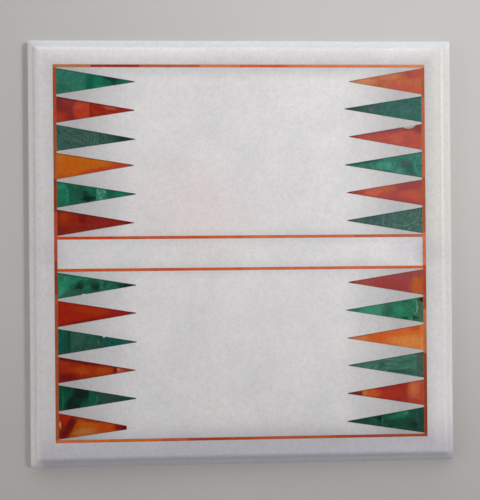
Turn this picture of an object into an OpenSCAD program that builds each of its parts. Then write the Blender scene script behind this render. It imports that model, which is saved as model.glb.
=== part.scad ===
// Backgammon board of white marble, inlaid by hand with green malachite and orange-red carnelian.
// Thin stones lie in shallow pockets cut into one slab, bedded in white cement and ground flush.
// X runs to the right, Y to the far side and Z up. The origin is the middle of the underside.

/* [Slab] */
// Length of each side of the square slab
slab_side = 381; // [340:1:460]
// Thickness of the slab
slab_t = 16; // [14:0.5:30]
// Radius rubbed onto the four upright corners
corner_r = 2; // [0.5:0.5:5]

/* [Moulded Edge] */
// Radius of the large quarter round at the rim
nose_r = 6; // [3:0.5:7]
// Width of the flat ledge between the two quarter rounds
ledge_w = 0.5; // [0.2:0.1:2]
// Radius of the small quarter round that runs up to the playing face
ovolo_r = 4.5; // [2:0.5:5]
// Bevel along the bottom edge
foot_bevel = 1; // [0.4:0.1:1.6]

/* [Margins] */
// From the left side of the slab to the centre of the left border
margin_left = 25; // [16:0.1:40]
// From the right side of the slab to the centre of the right border
margin_right = 27.3; // [16:0.1:40]
// From the far side of the slab to the centre of the top border
margin_top = 24.6; // [16:0.1:40]
// From the near side of the slab to the centre of the bottom border
margin_bottom = 24.7; // [16:0.1:40]

/* [Lines] */
// Width of the lines that run across the field
line_w = 2.3; // [1.2:0.1:4]
// Width of the two border lines at the sides
side_line_w = 2.6; // [1.2:0.1:4]
// From the centre of one bar line to the centre of the other
bar_h = 28.4; // [16:0.1:40]
// How far the bar lies to the near side of the field's middle
bar_shift = 0.6; // [-3:0.1:3]

/* [Points] */
// Length of the longest points, from base to tip
point_len = 69.5; // [40:0.5:110]
// Marble left between two neighbouring points at their bases
point_gap = 1.9; // [1:0.1:6]
// Width of a tip at its blunt end
tip_w = 0.5; // [0.3:0.1:1.5]

/* [Inlay] */
// Thickness of the stones
stone_t = 2; // [1:0.25:4]
// Thickness of the cement bed under the stones
bed_t = 0.5; // [0.25:0.25:1.5]
// Width of the cement joint around each stone
joint_w = 0.15; // [0.1:0.05:0.4]

/* [Hidden] */
$fn = 64;
points_per_table = 6;
points_per_row = 2 * points_per_table;

marble_colour = "#d8d6d7";
cement_colour = "#ece8e0";
malachite_colour = "#1d6b4f";
carnelian_colour = "#b4481f";

// How far a cutter runs past the face that it cuts, so that no skin is left
past = 1;

// The field between the centres of its borders
field_left = margin_left - slab_side / 2;
field_right = slab_side / 2 - margin_right;
field_far = slab_side / 2 - margin_top;
field_near = margin_bottom - slab_side / 2;
bar_y = (field_far + field_near) / 2 - bar_shift;

// The four lines across the field, from the far side to the near side
top = 0;
upper = 1;
lower = 2;
bottom = 3;
line_y = [field_far, bar_y + bar_h / 2, bar_y - bar_h / 2, field_near];

// Where the strips of a line meet, as shares of its length from its left or far end
top_joints = [0.10, 0.23, 0.39, 0.50, 0.63, 0.75, 0.86];
upper_bar_joints = [0.15, 0.29, 0.41, 0.50, 0.69, 0.81, 0.93];
lower_bar_joints = [0.14, 0.24, 0.35, 0.50, 0.61, 0.70, 0.83];
bottom_joints = [0.17, 0.28, 0.35, 0.47, 0.55, 0.67, 0.75, 0.83, 0.91];
left_joints = [0.14, 0.30, 0.39, 0.52, 0.61, 0.77, 0.91];
right_joints = [0.08, 0.23, 0.30, 0.45, 0.54, 0.66, 0.78, 0.92];

// The points of each row from the far side to the near side:
// stone, shorter than the longest by, drift of the tip to the far side, lost from the tip,
// and the seams between its stones, each as [share of the length, lean]
left_row = [
  ["malachite", 0.5, -0.4, 0, []],
  ["carnelian", 1, -0.7, 0, [[0.42, 0]]],
  ["malachite", 0.5, -1.4, 0, [[0.40, 1], [0.53, 0]]],
  ["carnelian", 2, 0.5, 0, []],
  ["malachite", 0.5, 0, 0, [[0.50, 1]]],
  ["carnelian", 2.5, -0.4, 0, []],
  ["malachite", 1, -0.1, 0, [[0.56, 0.5]]],
  ["carnelian", 1, 0, 0, []],
  ["malachite", 1, -0.8, 0, [[0.11, 0], [0.585, 0]]],
  ["carnelian", 2, -1, 0, [[0.76, 0]]],
  ["malachite", 1.5, -1.3, 0, [[0.50, 0.5]]],
  ["carnelian", 2, -2.5, 8, []]
];
right_row = [
  ["carnelian", 4, -0.2, 0, []],
  ["malachite", 0, 0.3, 0, [[0.62, 0]]],
  ["carnelian", 4, 0.4, 0, []],
  ["malachite", 0, 0.1, 0, []],
  ["carnelian", 1.5, 0.3, 0, []],
  ["malachite", 1.5, 0.2, 0, [[0.50, 0.5]]],
  ["carnelian", 2, 0.5, 0, [[0.14, 0]]],
  ["malachite", 0, 0.3, 0, [[0.50, 1]]],
  ["carnelian", 1, 0, 0, [[0.05, 0]]],
  ["malachite", 1.5, 0.4, 0, [[0.10, 0], [0.51, 0.5]]],
  ["carnelian", 0.5, 0.1, 0, [[0.17, 0], [0.81, 0.5]]],
  ["malachite", 0, -0.2, 0, [[0.55, 1], [0.81, -1]]]
];

// Chips out of the stones' edges, which the cement fills:
// row, point, place as a share of its length, length, depth, far edge (1) or near edge (-1)
chips = [
  ["left", 7, 0.33, 2.5, 0.6, -1],
  ["left", 9, 0.585, 2, 1, 1],
  ["right", 3, 0.185, 12, 2.2, 1]
];

// Ends of a cross line's stones: the bars stop at the side borders, the others run over them
function line_reach(n) = (n == upper || n == lower) ? -side_line_w / 2 - joint_w : side_line_w / 2;

// The places where the pieces of a run from a to b start and end, with both ends
function stations(a, b, joints) = concat([a], [for (j = joints) a + j * (b - a)], [b]);

// One point of a row
function entry(row, i) = (row == "left") ? left_row[i - 1] : right_row[i - 1];
function own_len(p) = point_len - p[1];
function far_line(i) = (i <= points_per_table) ? top : lower;
function near_line(i) = (i <= points_per_table) ? upper : bottom;
function base_x(row) = (row == "left")
  ? field_left + side_line_w / 2 + joint_w
  : field_right - side_line_w / 2 - joint_w;

// Share of a table that each point has, and the place of its middle
function pitch(i) = (line_y[far_line(i)] - line_y[near_line(i)] - line_w) / points_per_table;
function middle_y(i) = line_y[far_line(i)] - line_w / 2 - pitch(i) * ((i - 1) % points_per_table + 0.5);
function base_w(i) = pitch(i) - point_gap;

// A point's far (1) or near (-1) edge at u from its base, grown by c square to the edge
function slope(row, i, side) =
  (entry(row, i)[2] + side * (tip_w - base_w(i)) / 2) / own_len(entry(row, i));
function edge_v(row, i, side, u, c) = side * base_w(i) / 2 + slope(row, i, side) * u
  + side * c * sqrt(1 + pow(slope(row, i, side), 2));

// Half of the section's width at the foot of each quarter round
half_side = slab_side / 2;
ovolo_half = half_side - nose_r - ledge_w;

// A tier of the section with a quarter round at both ends
module tier(half_w, r) {
  intersection() {
    union() {
      translate([-half_w + r, 0]) square([2 * (half_w - r), r]);
      translate([-half_w + r, 0]) circle(r);
      translate([half_w - r, 0]) circle(r);
    }
    translate([-half_w, 0]) square([2 * half_w, r]);
  }
}

// The slab's section from side to side, with its moulded edges
module section() {
  foot_h = slab_t - ovolo_r - nose_r;
  polygon([
    [-half_side + foot_bevel, 0], [half_side - foot_bevel, 0], [half_side, foot_bevel],
    [half_side, foot_h], [-half_side, foot_h], [-half_side, foot_bevel]
  ]);
  translate([0, foot_h]) tier(half_side, nose_r);
  translate([0, slab_t - ovolo_r]) tier(ovolo_half, ovolo_r);
}

// A length of the moulded section along X
module moulded_run() {
  length = slab_side + 2 * past;
  rotate([90, 0, 90]) translate([0, 0, -length / 2]) linear_extrude(length) section();
}

// The slab before its pockets are cut: two runs that cross, so that the moulding meets in mitres
module blank() {
  inner = slab_side - 2 * corner_r;
  intersection() {
    moulded_run();
    rotate(90) moulded_run();
    translate([0, 0, -past]) linear_extrude(slab_t + 2 * past) {
      square([slab_side, inner], center = true);
      square([inner, slab_side], center = true);
      for (x = [-inner / 2, inner / 2], y = [-inner / 2, inner / 2]) {
        translate([x, y]) circle(corner_r);
      }
    }
  }
}

// A piece of a cross line from x0 to x1
module cross_piece(n, x0, x1, w, h) {
  translate([x0, line_y[n] - w / 2, 0]) cube([x1 - x0, w, h]);
}

// The strips of a cross line, with a joint between neighbours
module cross_strips(n, joints, h) {
  ends = stations(field_left - line_reach(n), field_right + line_reach(n), joints);
  last = len(ends) - 2;
  for (k = [0:last]) {
    start = ends[k] + (k > 0 ? joint_w / 2 : 0);
    stop = ends[k + 1] - (k < last ? joint_w / 2 : 0);
    cross_piece(n, start, stop, line_w, h);
  }
}

// The strips of a side border, which fit between the top and bottom borders
module side_strips(x, joints, h) {
  clear = line_w / 2 + joint_w;
  ends = stations(field_far - clear, field_near + clear, joints);
  last = len(ends) - 2;
  for (k = [0:last]) {
    far_y = ends[k] - (k > 0 ? joint_w / 2 : 0);
    near_y = ends[k + 1] + (k < last ? joint_w / 2 : 0);
    translate([x - side_line_w / 2, near_y, 0]) cube([side_line_w, far_y - near_y, h]);
  }
}

// Puts a shape drawn along +X from its base onto its place in a row
module in_row(row, i) {
  translate([base_x(row), middle_y(i), 0]) {
    if (row == "left") children();
    else mirror([1, 0, 0]) children();
  }
}

// The stones of one point, with the chips taken out of them
module point_stones(row, i, h) {
  p = entry(row, i);
  ends = stations(0, own_len(p), [for (s = p[4]) s[0]]);
  leans = concat([0], [for (s = p[4]) s[1]], [0]);
  last = len(ends) - 2;
  in_row(row, i) difference() {
    for (k = [0:last]) {
      u0 = ends[k] + (k > 0 ? joint_w / 2 : 0);
      u1 = ends[k + 1] - (k < last ? joint_w / 2 : p[3]);
      near0 = u0 - leans[k] / 2;
      near1 = u1 - leans[k + 1] / 2;
      far0 = u0 + leans[k] / 2;
      far1 = u1 + leans[k + 1] / 2;
      linear_extrude(h) polygon([
        [near0, edge_v(row, i, -1, near0, 0)], [near1, edge_v(row, i, -1, near1, 0)],
        [far1, edge_v(row, i, 1, far1, 0)], [far0, edge_v(row, i, 1, far0, 0)]
      ]);
    }
    for (c = chips) {
      if (c[0] == row && c[1] == i) chip(row, i, c, h);
    }
  }
}

// A shallow round bite out of one edge of a point
module chip(row, i, c, h) {
  u = c[2] * own_len(entry(row, i));
  r = (pow(c[3] / 2, 2) + pow(c[4], 2)) / (2 * c[4]);
  translate([u, edge_v(row, i, c[5], u, r - c[4]), -past]) cylinder(h = h + 2 * past, r = r);
}

// The space cut for one point, open to the side border's space
module point_pocket(row, i, h) {
  u0 = -joint_w;
  u1 = own_len(entry(row, i)) + joint_w;
  in_row(row, i) linear_extrude(h) polygon([
    [u0, edge_v(row, i, -1, u0, joint_w)], [u1, edge_v(row, i, -1, u1, joint_w)],
    [u1, edge_v(row, i, 1, u1, joint_w)], [u0, edge_v(row, i, 1, u0, joint_w)]
  ]);
}

// All the spaces that are cut for the inlay, of height h from their floor
module pockets(h) {
  translate([0, 0, slab_t - stone_t - bed_t]) {
    for (n = [top, upper, lower, bottom]) {
      reach = max(line_reach(n), 0) + joint_w;
      cross_piece(n, field_left - reach, field_right + reach, line_w + 2 * joint_w, h);
    }
    for (x = [field_left, field_right]) {
      w = side_line_w + 2 * joint_w;
      translate([x - w / 2, field_near, 0]) cube([w, field_far - field_near, h]);
    }
    for (row = ["left", "right"], i = [1:points_per_row]) point_pocket(row, i, h);
  }
}

// All the stones, of height h from their underside
module stones(h) {
  translate([0, 0, slab_t - stone_t]) {
    cross_strips(top, top_joints, h);
    cross_strips(upper, upper_bar_joints, h);
    cross_strips(lower, lower_bar_joints, h);
    cross_strips(bottom, bottom_joints, h);
    side_strips(field_left, left_joints, h);
    side_strips(field_right, right_joints, h);
    for (row = ["left", "right"], i = [1:points_per_row]) point_stones(row, i, h);
  }
}

// Lifts an inlaid piece to its place on the cement bed
module on_bed(colour) {
  color(colour) translate([0, 0, slab_t - stone_t]) children();
}

// The slab, with every pocket cut
module marble_slab() {
  color(marble_colour) difference() {
    blank();
    pockets(stone_t + bed_t + past);
  }
}

// The cement: a bed under the stones, the joints between them and the filled chips
module setting_cement() {
  color(cement_colour) difference() {
    pockets(stone_t + bed_t);
    stones(stone_t + past);
  }
}

module border_top() {
  on_bed(carnelian_colour) cross_strips(top, top_joints, stone_t);
}

module border_bottom() {
  on_bed(carnelian_colour) cross_strips(bottom, bottom_joints, stone_t);
}

module border_left() {
  on_bed(carnelian_colour) side_strips(field_left, left_joints, stone_t);
}

module border_right() {
  on_bed(carnelian_colour) side_strips(field_right, right_joints, stone_t);
}

module bar_line_upper() {
  on_bed(carnelian_colour) cross_strips(upper, upper_bar_joints, stone_t);
}

module bar_line_lower() {
  on_bed(carnelian_colour) cross_strips(lower, lower_bar_joints, stone_t);
}

// One point, counted from the far side
module point(row, i) {
  colour = (entry(row, i)[0] == "malachite") ? malachite_colour : carnelian_colour;
  on_bed(colour) point_stones(row, i, stone_t);
}

marble_slab();
setting_cement();
border_top();
border_bottom();
border_left();
border_right();
bar_line_upper();
bar_line_lower();
for (i = [1:points_per_row]) {
  point("left", i);
  point("right", i);
}
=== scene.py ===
# A backgammon board of white marble, inlaid with malachite and carnelian.
# Metres throughout. X runs to the right, Y to the far side and Z up, from the middle of the underside.
import math
from collections import namedtuple

import bmesh
import bpy
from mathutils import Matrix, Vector


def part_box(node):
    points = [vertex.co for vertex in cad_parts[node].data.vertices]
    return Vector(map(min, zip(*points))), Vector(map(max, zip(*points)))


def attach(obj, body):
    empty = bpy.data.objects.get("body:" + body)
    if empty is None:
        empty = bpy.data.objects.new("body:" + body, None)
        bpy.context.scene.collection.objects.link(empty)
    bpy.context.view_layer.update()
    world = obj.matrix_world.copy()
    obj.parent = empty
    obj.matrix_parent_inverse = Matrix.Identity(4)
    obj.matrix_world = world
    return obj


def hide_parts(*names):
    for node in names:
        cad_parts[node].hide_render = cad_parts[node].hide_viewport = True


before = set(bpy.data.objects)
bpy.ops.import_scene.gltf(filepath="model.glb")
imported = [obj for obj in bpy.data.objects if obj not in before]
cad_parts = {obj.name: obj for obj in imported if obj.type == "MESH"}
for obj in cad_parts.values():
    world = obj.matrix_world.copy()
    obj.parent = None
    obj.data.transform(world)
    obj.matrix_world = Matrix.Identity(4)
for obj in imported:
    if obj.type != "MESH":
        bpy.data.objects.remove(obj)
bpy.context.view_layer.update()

MM = 0.001

# The slab's own sizes come from the frame, and its moulding repeats the driving sizes of the part
slab_low, slab_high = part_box("marble_slab")
SLAB_SIDE = slab_high.x - slab_low.x
SLAB_TOP = slab_high.z
NOSE_RADIUS = 6 * MM
LEDGE_WIDTH = 0.5 * MM
OVOLO_RADIUS = 4.5 * MM
FOOT_BEVEL = 1 * MM
CORNER_RADIUS = 2 * MM
MOULDING_WIDTH = NOSE_RADIUS + LEDGE_WIDTH + OVOLO_RADIUS
FLAT_HALF = SLAB_SIDE / 2 - MOULDING_WIDTH
LEDGE_HEIGHT = SLAB_TOP - OVOLO_RADIUS
NOSE_STEPS = 18
QUIRK_STEPS = 8
OVOLO_STEPS = 14

# How wear and the marble worker's hand show on the moulding. The quirk between its two rounds is rubbed
# into a hollow that starts and stops at these angles on the rounds. Nicks are where their noise passes its
# limits, and the wear fades out over the last stretch before the flat faces.
EASED_ARRIS = 0.4 * MM
QUIRK_ANGLES = (12, 26)
RUBBED_WAVE = 0.12 * MM
WAVE_SIZE = 30 * MM
NICK_DEPTH = 0.45 * MM
NICK_SIZE = 5 * MM
NICK_LIMITS = (0.72, 0.8)
UNWORN = 2 * MM
SECTIONS_PER_SIDE = 150
SECTION_CROWDING = 1.5
WEAR_SEED = 7

# How near two places are taken for one, and the gaps that are taken for joints between strips
SAME_PLACE = 0.02 * MM
MERGED_WITHIN = 0.001 * MM
JOINED_WITHIN = 0.005 * MM
ON_EDGE = 0.01 * MM
END_SHARE = 1e-5
JOINT_LIMITS = (0.05 * MM, 0.5 * MM)

# How much darker the marble is made between the points and beside the lines, and how far that reaches, in
# millimetres.
# Beside the lines it grows a little toward the far right.
GAPS_MIDDLE = -4.5
GAPS_REACH = (92, 145)
GAPS_DARKENING = 0.33
BORDER_REACH = 12.0
BAR_REACH = 9.0
BAR_SHARE = 0.6
LINES_DARKENING = 0.16
LINES_LEAN = 0.0003

# How strongly the marble's veins and the dust in the quirk show, and how near the quirk dust lies, from
# none to most, in millimetres
VEIN_SHARE = 0.12
DUST_SHARE = 0.25
DUST_REACH = (1.1, 0.1)

# In millimetres, how far a seam stains the cement, how far the marks on a stone stray from their ovals,
# and how much farther on a mottled stone
SEAM_REACH = 1.0
STRAY = 3.0
MOTTLED_STRAY = 6.0

# What is added to a seed for the next stone of a point, and for the lines
NEXT_STONE_SEED = 0.3
LINES_SEED = 50.0

# The photograph's camera, in its frame of 480 by 500 pixels
PHOTO_LONG_SIDE = 500
FOCAL_PIXELS = 900
SENSOR = 36
CAMERA_PLACE = Vector((-42.45, 1.01, 816.75)) * MM
CAMERA_TILT = [math.radians(a) for a in (0.09, -2.83, -0.50)]

# One soft lamp beyond the far right corner, and a pale light all round that is dark overhead
LAMP_PLACE = Vector((1.39, 0.62, 1.30))
LAMP_AIM = Vector((0.43, 0.47, 0.0))
LAMP_SIZE = 1.20
LAMP_SPREAD = math.radians(26.2)
LAMP_WATTS = 2.8
SKY_STRENGTH = 0.976
SKY_LEAN = (-0.374, 0.444, 0.0)
OVERHEAD_STRENGTH = 0.08
OVERHEAD_ANGLES = [math.radians(a) for a in (32, 62)]
FLOOR_HALF = 1.5


def tone(code):
    """A colour written as six hex digits, made linear."""
    values = [int(code[i:i + 2], 16) / 255 for i in (1, 3, 5)]
    linear = [v / 12.92 if v <= 0.04045 else ((v + 0.055) / 1.055) ** 2.4 for v in values]
    return (*linear, 1.0)


TONES = {name: tone(code) for name, code in {
    # Marble, with the greys and the bright tone that are painted as light and shade on it
    "white": "#eae7e7", "grey": "#e2e0e1", "flush": "#eadddd", "bright": "#f3eff0",
    "shadow grey": "#c5c2cc", "dusk grey": "#b6b4bd", "cool grey": "#dadce1", "warm grey": "#d7d4cf",
    "rose grey": "#e0dadb", "worn grey": "#d5d3d2", "dust": "#b4aa9c",
    # Setting cement
    "joint": "#97806f", "stained joint": "#6b584c", "fill": "#dedad6", "putty": "#b5a794",
    "green joint": "#3c5a4c", "red joint": "#8a4836",
    # Malachite
    "teal green": "#377b68", "deep teal": "#095d49", "bright green": "#13785d",
    "forest green": "#13614a", "sea green": "#1b6d53", "spring green": "#19886a",
    "leaf green": "#237556", "jade": "#319270", "emerald": "#32825e", "foam green": "#419577",
    "turquoise": "#4e9c83", "aqua green": "#63ad94", "mist green": "#79a693", "holly green": "#064b36",
    "fern green": "#235f47", "moss green": "#2f5f4c", "bottle green": "#1c4f3b",
    "shade green": "#1e4a38", "pine green": "#1e4038", "deep green": "#053b2a",
    "black green": "#0c211b", "blue teal": "#08504a", "grey green": "#34564e", "dusk green": "#2a4f44",
    "pale slate": "#466360", "slate green": "#3d6862", "pale teal": "#46706c", "iron grey": "#445a58",
    "violet grey": "#617274", "river green": "#27554c", "sage green": "#3d7c6e",
    "glass green": "#417562", "olive green": "#4a7058", "olive": "#516149", "dark olive": "#435948",
    # Carnelian and jasper
    "plum": "#882b2b", "wine": "#7a191c", "garnet": "#580c10", "black red": "#30100e",
    "maroon": "#6b0606", "oxblood": "#7a100a", "cherry": "#8c2016", "brick": "#98260a",
    "red": "#a22110", "crimson": "#9a1c1e", "tip red": "#a72f29", "ember": "#ac3507",
    "scarlet": "#b53820", "flame": "#bd4126", "burnt orange": "#b9510a", "amber": "#c9650c",
    "umber": "#6e3014", "honey": "#be7738", "sand": "#d5a07c", "clay": "#be5d2d", "rose tan": "#c05544",
    "salmon": "#bd6747", "pink": "#c15851", "tan": "#d08a61", "coral red": "#c1583f",
    "coral": "#cd6752", "rosewood": "#b64f49", "dusty rose": "#984748", "cinder": "#863f39",
    "deep red": "#a62d22", "dark orange": "#ce5923", "tangerine": "#d96a2e", "gold tan": "#d57239",
    "gold": "#de8c44", "plum red": "#84252a", "fire red": "#a81f06", "fire orange": "#c24408",
    "coral rose": "#b95449", "mauve": "#8f4a52",
}.items()}
LINE_TONES = {name: tone(code) for name, code in {
    "crimson": "#ae3428", "scarlet": "#e0400f", "flame": "#de5a25", "orange": "#e46430",
    "salmon": "#e07249", "tan": "#ec8153", "rose": "#c86646", "ochre": "#cc7840", "copper": "#c8663f",
    "honey": "#e4702f", "rust": "#d05d2c", "sienna": "#c35330", "brick": "#b54825", "russet": "#b2592e",
    "umber": "#9c3c1c",
}.items()}


# Node trees

class Flow:
    """What a node puts out. A sum with it adds the next node to its tree."""

    def __init__(self, socket):
        self.socket = socket
        self.tree = socket.id_data

    def __add__(self, other):
        return calc("ADD", self, other)

    def __radd__(self, other):
        return calc("ADD", other, self)

    def __sub__(self, other):
        return calc("SUBTRACT", self, other)

    def __rsub__(self, other):
        return calc("SUBTRACT", other, self)

    def __mul__(self, other):
        return calc("MULTIPLY", self, other)

    def __truediv__(self, other):
        return calc("DIVIDE", self, other)

    def __rtruediv__(self, other):
        return calc("DIVIDE", other, self)

    def __lt__(self, other):
        return calc("LESS_THAN", self, other)

    def __gt__(self, other):
        return calc("GREATER_THAN", self, other)

    def __abs__(self):
        return calc("ABSOLUTE", self)


class Outputs:
    """All that a node puts out, by name or number."""

    def __init__(self, node):
        self.sockets = node.outputs

    def __getitem__(self, key):
        return Flow(self.sockets[key])


def put(tree, kind, inputs=None, **settings):
    """Adds a node, whose inputs go by name or number, and returns what it puts out."""
    node = tree.nodes.new(kind)
    for name, value in settings.items():
        setattr(node, name, value)
    for key, value in (inputs or {}).items():
        if isinstance(value, Flow):
            tree.links.new(value.socket, node.inputs[key])
        else:
            node.inputs[key].default_value = value
    return Outputs(node)


def tree_of(values):
    """The tree that the first flow among some values belongs to, if there is one."""
    return next((v.tree for v in values if isinstance(v, Flow)), None)


def calc(operation, *values):
    """The result of a sum on one or two values."""
    return put(tree_of(values), "ShaderNodeMath", dict(enumerate(values)), operation=operation)[0]


def vector_calc(operation, *values, **named):
    """The result of a sum on vectors."""
    inputs = {**dict(enumerate(values)), **named}
    made = put(tree_of(values), "ShaderNodeVectorMath", inputs, operation=operation)
    return made["Value" if operation in ("LENGTH", "DOT_PRODUCT") else "Vector"]


def remap(value, low, high, to_low=0.0, to_high=1.0, kind="SMOOTHSTEP"):
    """A value's place between low and high, carried to between to_low and to_high."""
    inputs = {"Value": value, "From Min": low, "From Max": high, "To Min": to_low, "To Max": to_high}
    return put(value.tree, "ShaderNodeMapRange", inputs, interpolation_type=kind)["Result"]


def overlay(share, under, over, mode="MIX"):
    """One colour laid over another. It is a plain colour where all that goes in is plain."""
    tree = tree_of((share, under, over))
    if tree is None:
        return tuple(a + share * (b - a) for a, b in zip(under, over))
    inputs = {0: share, 6: under, 7: over}
    return put(tree, "ShaderNodeMix", inputs, data_type="RGBA", blend_type=mode)[2]


def combined(**parts):
    """A vector from its parts X, Y and Z."""
    return put(tree_of(parts.values()), "ShaderNodeCombineXYZ", parts)[0]


def shaded(colour, shade):
    """A colour made darker or lighter by a factor."""
    return overlay(1.0, colour, combined(X=shade, Y=shade, Z=shade), "MULTIPLY")


def split(vector):
    """The three parts of a vector."""
    return put(vector.tree, "ShaderNodeSeparateXYZ", {0: vector})


def turned(vector, angle, invert=False, **named):
    """A vector turned about Z."""
    inputs = {"Vector": vector, "Angle": angle, **named}
    return put(vector.tree, "ShaderNodeVectorRotate", inputs, rotation_type="Z_AXIS", invert=invert)[0]


def noise(vector, size, seed=0.0, detail=3.0, distortion=0.0, output="Fac"):
    """Soft noise whose lumps are size across."""
    inputs = {"Vector": vector, "W": seed, "Scale": 1 / size, "Detail": detail, "Distortion": distortion}
    return put(vector.tree, "ShaderNodeTexNoise", inputs, noise_dimensions="4D")[output]


ORIGIN = (0.0, 0.0, 0.0)
VALUE = "NodeSocketFloat"
VECTOR = "NodeSocketVector"


def new_group(name, inputs, outputs):
    """A shader node group: each input is given by its default value, and each output by its kind."""
    tree = bpy.data.node_groups.new(name, "ShaderNodeTree")
    for label, value in inputs.items():
        kind = VECTOR if isinstance(value, tuple) else VALUE
        socket = tree.interface.new_socket(name=label, in_out="INPUT", socket_type=kind)
        socket.default_value = value
    for label, kind in outputs.items():
        tree.interface.new_socket(name=label, in_out="OUTPUT", socket_type=kind)
    return tree, put(tree, "NodeGroupInput")


def use(group, inputs):
    """A group placed in the tree of its inputs, with its own values."""
    return put(tree_of(inputs.values()), "ShaderNodeGroup", inputs, node_tree=group)


# Effects shared by the stones

def ragged_places():
    """Moves each place a little, so that what is drawn there gets an uneven outline."""
    tree, given = new_group(
        "ragged_places", {"Vector": ORIGIN, "Reach": 2.0, "Seed": 0.0}, {"Vector": VECTOR}
    )
    coarse = noise(given["Vector"], 7.0, given["Seed"], output="Color")
    fine = noise(given["Vector"], 2.0, given["Seed"], output="Color")
    both = vector_calc("MULTIPLY_ADD", fine, (0.6, 0.6, 0.6), coarse)
    middle = vector_calc("SUBTRACT", both, (0.8, 0.8, 0.8))
    shift = vector_calc("SCALE", middle, Scale=given["Reach"])
    put(tree, "NodeGroupOutput", {"Vector": vector_calc("ADD", given["Vector"], shift)})
    return tree


def soft_patch():
    """One oval patch of another tone: 1 at its middle and 0 outside it."""
    tree, given = new_group(
        "soft_patch",
        {"Vector": ORIGIN, "Place": ORIGIN, "Half Size": (5.0, 5.0, 5.0), "Turn": 0.0, "Softness": 0.5},
        {"Mask": VALUE},
    )
    place = turned(given["Vector"], given["Turn"], invert=True, Center=given["Place"])
    away = vector_calc("SUBTRACT", place, given["Place"])
    reach = vector_calc("LENGTH", vector_calc("DIVIDE", away, given["Half Size"]))
    mask = remap(reach, 1.0 + given["Softness"], 1.0 - given["Softness"])
    put(tree, "NodeGroupOutput", {"Mask": mask})
    return tree


def soft_arc():
    """A thin line along one part of an oval: 1 on the line where it lies toward a side, and 0 off it."""
    tree, given = new_group(
        "soft_arc",
        {"Vector": ORIGIN, "Place": ORIGIN, "Half Size": (5.0, 5.0, 5.0), "Toward": 0.0, "Width": 0.1},
        {"Mask": VALUE},
    )
    away = vector_calc("SUBTRACT", given["Vector"], given["Place"])
    reach = vector_calc("LENGTH", vector_calc("DIVIDE", away, given["Half Size"]))
    line = remap(abs(reach - 1.0), given["Width"], 0.0)
    ahead = turned(vector_calc("NORMALIZE", away), given["Toward"], invert=True)
    there = remap(split(ahead)[0], 0.1, 0.7)
    put(tree, "NodeGroupOutput", {"Mask": line * there})
    return tree


def malachite_bands():
    """The banding of malachite: lines that lie along a lean and wander over the swell they grew on."""
    tree, given = new_group(
        "malachite_bands",
        {"Vector": ORIGIN, "Swell": 14.0, "Wander": 12.0, "Band Width": 2.4, "Lean": 0.0, "Seed": 0.0},
        {"Bands": VALUE, "Hair Lines": VALUE, "Mottle": VALUE},
    )
    place, seed = given["Vector"], given["Seed"]
    swell = noise(place, given["Swell"], seed, detail=1.5, distortion=0.6)
    lie = split(turned(place, given["Lean"], invert=True))[1]
    height = noise(place, 2.6, seed) * 1.1 + (swell * given["Wander"] + lie)
    turns = height * math.tau / given["Band Width"]
    narrow = calc("SINE", turns * 2.3)
    both = narrow * 0.45 + calc("SINE", turns)
    fading = remap(noise(place, 8.0, seed), 0.38, 0.62)
    mottle = noise(place, 3.4, seed, detail=5.0, distortion=0.8)
    put(tree, "NodeGroupOutput", {
        "Bands": remap(both * fading, -1.2, 1.2),
        "Hair Lines": remap(narrow, 0.8, 1.0) * fading,
        "Mottle": remap(mottle, 0.38, 0.62),
    })
    return tree


def carnelian_clouds():
    """The clouds and feathery streaks inside carnelian."""
    tree, given = new_group(
        "carnelian_clouds",
        {"Vector": ORIGIN, "Cloud Size": 9.0, "Streak Turn": 0.6, "Seed": 0.0},
        {"Clouds": VALUE, "Streaks": VALUE},
    )
    clouds = noise(given["Vector"], given["Cloud Size"], given["Seed"], detail=4.0, distortion=0.9)
    drawn_out = vector_calc("MULTIPLY", turned(given["Vector"], given["Streak Turn"]), (0.22, 1.0, 1.0))
    streaks = noise(drawn_out, 2.2, given["Seed"], detail=5.0, distortion=0.4)
    put(tree, "NodeGroupOutput", {
        "Clouds": remap(clouds, 0.34, 0.66),
        "Streaks": remap(streaks, 0.4, 0.72),
    })
    return tree


def hand_polish():
    """Rubbed stone: its gloss comes and goes, and hair scratches run across it."""
    tree, given = new_group(
        "hand_polish",
        {"Vector": ORIGIN, "Roughness": 0.2, "Unevenness": 0.06, "Scratches": 0.06},
        {"Roughness": VALUE, "Height": VALUE},
    )
    place = given["Vector"]
    lines = 0.0
    for angle, length, seed in ((0.35, 26.0, 1.0), (1.9, 18.0, 2.0), (2.7, 32.0, 3.0)):
        drawn_out = vector_calc("MULTIPLY", turned(place, angle), (1 / length, 1.0, 1.0))
        lines = remap(noise(drawn_out, 0.45, seed, detail=1.0), 0.74, 0.8) + lines
    uneven = noise(place, 14.0, seed=4.0) * given["Unevenness"] + given["Roughness"]
    put(tree, "NodeGroupOutput", {
        "Roughness": lines * given["Scratches"] + uneven,
        "Height": lines * -0.03 + noise(place, 22.0, seed=5.0, detail=1.0),
    })
    return tree


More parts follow.
